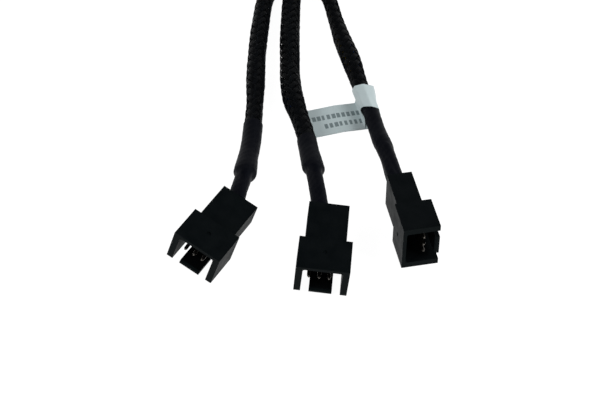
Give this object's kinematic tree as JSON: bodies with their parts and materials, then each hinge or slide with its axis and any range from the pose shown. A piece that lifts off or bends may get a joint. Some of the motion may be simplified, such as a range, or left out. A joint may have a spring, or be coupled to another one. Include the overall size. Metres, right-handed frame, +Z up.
{
  "type": "fan splitter cable",
  "caption": "Short black sleeved cable that splits one small input connector into three branches, each ending in a four-way pin connector, with a white flag label on one branch.",
  "frame": {"origin": "centre of the input connector's underside, on the surface that the cable lies on", "axes": "+Z up, +Y towards the mating face of the input connector, with the three branches running towards -Y"},
  "size_m": [0.0714, 0.1867, 0.0142],
  "materials": {
    "black_nylon": "moulded black plastic, satin",
    "black_heat_shrink": "matt heat-shrink tube",
    "black_braid": "braided monofilament sleeve",
    "tinned_contact": "tinned brass",
    "white_film": "satin white label film",
    "wire_1": "black wire insulation",
    "wire_2": "yellow wire insulation",
    "wire_3": "blue wire insulation",
    "wire_4": "green wire insulation"
  },
  "bodies": {
    "root": {"flag_label": "white_film", "input_housing": "black_nylon", "input_terminal_1": "tinned_contact", "input_terminal_2": "tinned_contact", "input_terminal_3": "tinned_contact", "input_terminal_4": "tinned_contact", "input_wire_1": "wire_1", "input_wire_2": "wire_2", "input_wire_3": "wire_3", "input_wire_4": "wire_4", "joint_heat_shrink": "black_heat_shrink", "left_heat_shrink": "black_heat_shrink", "left_housing": "black_nylon", "left_pin_1": "tinned_contact", "left_pin_2": "tinned_contact", "left_pin_3": "tinned_contact", "left_sleeve": "black_braid", "left_wire_1": "wire_1", "left_wire_2": "wire_2", "left_wire_3": "wire_3", "middle_heat_shrink": "black_heat_shrink", "middle_housing": "black_nylon", "middle_pin_1": "tinned_contact", "middle_pin_2": "tinned_contact", "middle_pin_3": "tinned_contact", "middle_sleeve": "black_braid", "middle_wire_1": "wire_1", "middle_wire_2": "wire_2", "middle_wire_3": "wire_3", "right_heat_shrink": "black_heat_shrink", "right_housing": "black_nylon", "right_pin_1": "tinned_contact", "right_pin_2": "tinned_contact", "right_pin_3": "tinned_contact", "right_pin_4": "tinned_contact", "right_sleeve": "black_braid", "right_wire_1": "wire_1", "right_wire_2": "wire_2", "right_wire_3": "wire_3", "right_wire_4": "wire_4"}
  },
  "joints": []
}
